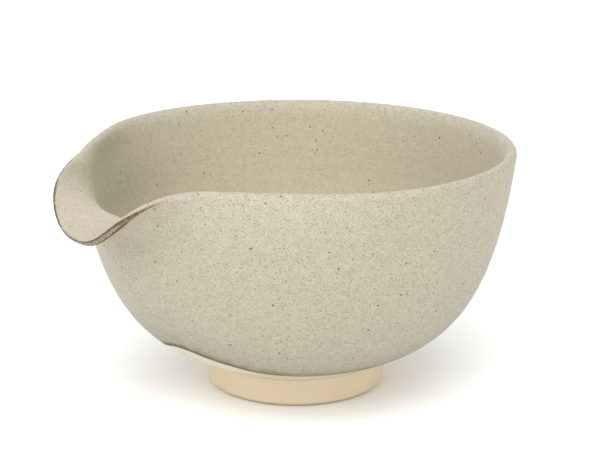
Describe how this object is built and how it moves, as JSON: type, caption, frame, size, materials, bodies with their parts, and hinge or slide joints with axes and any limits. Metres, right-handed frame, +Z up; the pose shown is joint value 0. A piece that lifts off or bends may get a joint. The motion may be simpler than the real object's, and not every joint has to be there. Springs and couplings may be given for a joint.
{
  "type": "spouted bowl",
  "caption": "Round stoneware bowl with a pulled pouring lip and a bare turned foot ring, for mixing, whisking and pouring.",
  "frame": {"origin": "on the surface that the bowl stands on, midway between the lip's tip and the far rim, on the bowl's plane of symmetry", "axes": "+Z up out of the bowl's mouth; the pouring lip points to -X; Y runs across the bowl"},
  "size_m": [0.1524, 0.1398, 0.0788],
  "materials": {
    "clay": "bare fired clay, pale cream, matt",
    "foot_clay": "bare turned clay, warm tan, matt",
    "glaze": "satin-matt grey-beige glaze with fine brown iron specks, brown where it thins on the lip's edge"
  },
  "bodies": {
    "root": {"bowl_body": "clay", "foot_ring": "foot_clay", "glaze_coat": "glaze"}
  },
  "joints": []
}
